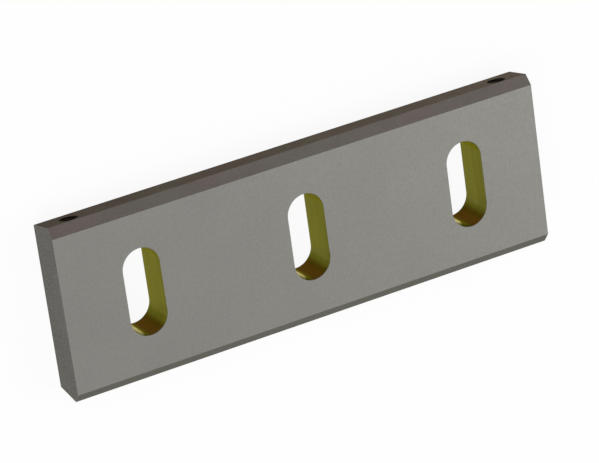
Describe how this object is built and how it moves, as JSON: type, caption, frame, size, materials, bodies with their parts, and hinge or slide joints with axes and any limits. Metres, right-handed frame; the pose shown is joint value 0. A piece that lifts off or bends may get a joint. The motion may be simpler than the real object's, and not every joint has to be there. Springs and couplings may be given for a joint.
{
  "type": "stator knife",
  "caption": "Flat double-edged stator knife with bevelled long edges, round-ended clamping slots across its width and tapped setting-screw holes in its flanks.",
  "frame": {"origin": "under the middle of the knife, on the seat face that lies against the machine's knife holder", "axes": "+X along the knife, +Y across it to one cutting edge, +Z out of the slotted front face"},
  "size_m": [0.295, 0.1, 0.022],
  "materials": {
    "knife_steel": "ground tool steel, dull and faintly warm grey, with browned flanks"
  },
  "bodies": {
    "root": {"stator_knife": "knife_steel"}
  },
  "joints": []
}
